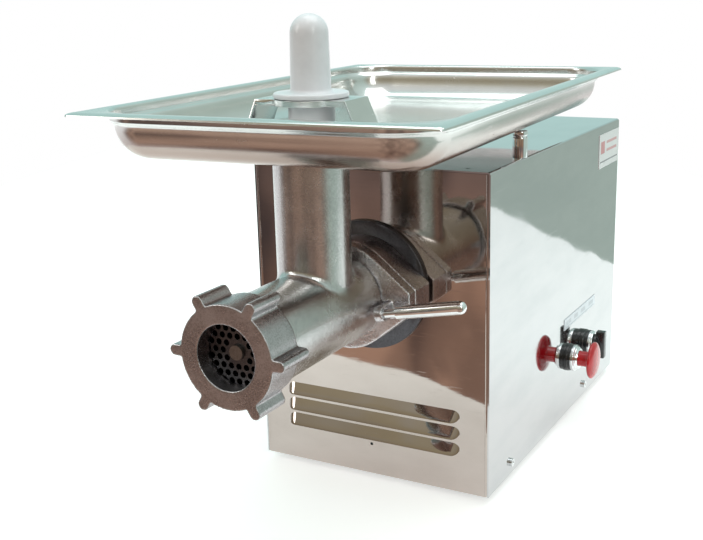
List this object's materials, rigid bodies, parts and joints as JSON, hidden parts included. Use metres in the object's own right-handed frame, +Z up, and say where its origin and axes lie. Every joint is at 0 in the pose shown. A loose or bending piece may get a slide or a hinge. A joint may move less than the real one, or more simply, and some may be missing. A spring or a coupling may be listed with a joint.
{
  "type": "electric meat grinder",
  "caption": "Electric meat grinder: mirror-polished case with motor and gearbox, grinding head with ring nut, steel tray and white plunger.",
  "frame": {"origin": "on the floor, under the middle of the whole outline", "axes": "+Y from the grinding head to the rear panel, +Z up, +X to the side with the controls"},
  "size_m": [0.35, 0.642, 0.4488],
  "materials": {
    "mirror_panel": "mirror polished stainless sheet",
    "case_steel": "polished stainless sheet",
    "base_steel": "plain sheet",
    "tray_steel": "bright pressed stainless",
    "barrel_metal": "cast, blasted and satin",
    "nut_metal": "cast, satin",
    "flange_metal": "cast, bright",
    "plate_metal": "ground, dark",
    "disc_grey": "satin dark grey",
    "chrome_trim": "bright plated",
    "steel_hardware": "zinc plated",
    "white_plastic": "satin food-grade plastic",
    "red_plastic": "glossy tinted plastic",
    "black_plastic": "glossy black",
    "dark_plastic": "matt dark",
    "rubber": "matt black",
    "label_film": "white film",
    "bronze": "turned bronze",
    "auger_metal": "cast, tinned",
    "knife_steel": "ground",
    "gearbox_paint": "grey enamel",
    "bearing_steel": "ground",
    "shaft_steel": "turned",
    "gear_steel": "oiled",
    "motor_paint": "blue-grey enamel",
    "core_steel": "laminated",
    "winding_copper": "lacquered copper",
    "fan_plastic": "moulded",
    "capacitor_plastic": "moulded"
  },
  "bodies": {
    "machine": {"front_panel": "mirror_panel", "case_shell": "case_steel", "rear_panel": "case_steel", "base_plate": "base_steel", "head_body": "barrel_metal", "hub_flange": "flange_metal", "seal_disc": "disc_grey", "tray_posts": "chrome_trim", "side_screws": "chrome_trim", "stop_bezel": "chrome_trim", "selector_bezel": "chrome_trim", "foot_screws": "steel_hardware", "hub_bolts": "steel_hardware", "plate_key": "steel_hardware", "stop_collar": "black_plastic", "selector_collar": "black_plastic", "stop_block": "dark_plastic", "selector_block": "dark_plastic", "cable_gland": "dark_plastic", "feet": "rubber", "shaft_seal": "rubber", "control_label": "label_film", "blank_plate": "label_film", "head_bush": "bronze", "gearbox_housing": "gearbox_paint", "gearbox_cover": "gearbox_paint", "bearing_plate": "gearbox_paint", "output_bearings": "bearing_steel", "intermediate_bearings": "bearing_steel", "motor_bearings": "bearing_steel", "motor_housing": "motor_paint", "motor_front_bell": "motor_paint", "motor_rear_bell": "motor_paint", "fan_cover": "motor_paint", "motor_cradle": "motor_paint", "stator_core": "core_steel", "stator_windings": "winding_copper", "capacitor": "capacitor_plastic"},
    "clamp": {"clamp_ring": "flange_metal", "clamp_lever": "chrome_trim"},
    "plate": {"grinder_plate": "plate_metal"},
    "nut": {"ring_nut": "nut_metal"},
    "auger_line": {"auger": "auger_metal", "knife": "knife_steel", "output_shaft": "shaft_steel", "output_gear": "gear_steel"},
    "intermediate": {"intermediate_shaft": "shaft_steel", "intermediate_gear": "gear_steel"},
    "rotor": {"rotor_core": "core_steel", "motor_shaft": "shaft_steel", "motor_pinion": "gear_steel", "fan": "fan_plastic"},
    "tray": {"tray": "tray_steel", "tray_guard": "tray_steel"},
    "plunger": {"plunger": "white_plastic"},
    "stop": {"stop_button": "red_plastic"},
    "selector": {"selector_knob": "black_plastic"}
  },
  "joints": [
    {"name": "motor_spin", "type": "hinge", "parent": "machine", "child": "rotor", "pos_m": [0.00747, 0.056, 0.2], "axis": [0, 1, 0], "continuous": true},
    {"name": "intermediate_spin", "type": "hinge", "parent": "machine", "child": "intermediate", "pos_m": [0.00747, -0.034, 0.14], "axis": [0, 1, 0], "continuous": true},
    {"name": "auger_spin", "type": "hinge", "parent": "machine", "child": "auger_line", "pos_m": [0.00747, -0.154, 0.2], "axis": [0, 1, 0], "continuous": true},
    {"name": "clamp_turn", "type": "hinge", "parent": "machine", "child": "clamp", "pos_m": [0.00747, -0.134, 0.2], "axis": [0, 1, 0], "range_deg": [-40, 0]},
    {"name": "plate_slide", "type": "slide", "parent": "machine", "child": "plate", "axis": [0, -1, 0], "range_m": [0, 0.006]},
    {"name": "nut_turn", "type": "hinge", "parent": "plate", "child": "nut", "pos_m": [0.00747, -0.304, 0.2], "axis": [0, 1, 0], "range_deg": [0, 720]},
    {"name": "tray_lift", "type": "slide", "parent": "machine", "child": "tray", "axis": [0, 0, 1], "range_m": [0, 0.08]},
    {"name": "plunger_lift", "type": "slide", "parent": "tray", "child": "plunger", "axis": [0, 0, 1], "range_m": [0, 0.14]},
    {"name": "stop_press", "type": "slide", "parent": "machine", "child": "stop", "axis": [-1, 0, 0], "range_m": [0, 0.005], "stiffness_N_per_m": 1200, "springref_m": -0.002},
    {"name": "selector_turn", "type": "hinge", "parent": "machine", "child": "selector", "pos_m": [0.12897, 0.186, 0.074], "axis": [1, 0, 0], "range_deg": [-45, 45]}
  ],
  "couplings": [
    {"joint": "intermediate_spin", "follows": "motor_spin", "ratio": -0.33333},
    {"joint": "auger_spin", "follows": "motor_spin", "ratio": 0.14286},
    {"joint": "plate_slide", "follows": "nut_turn", "m_per_rad": 0.00047746}
  ]
}
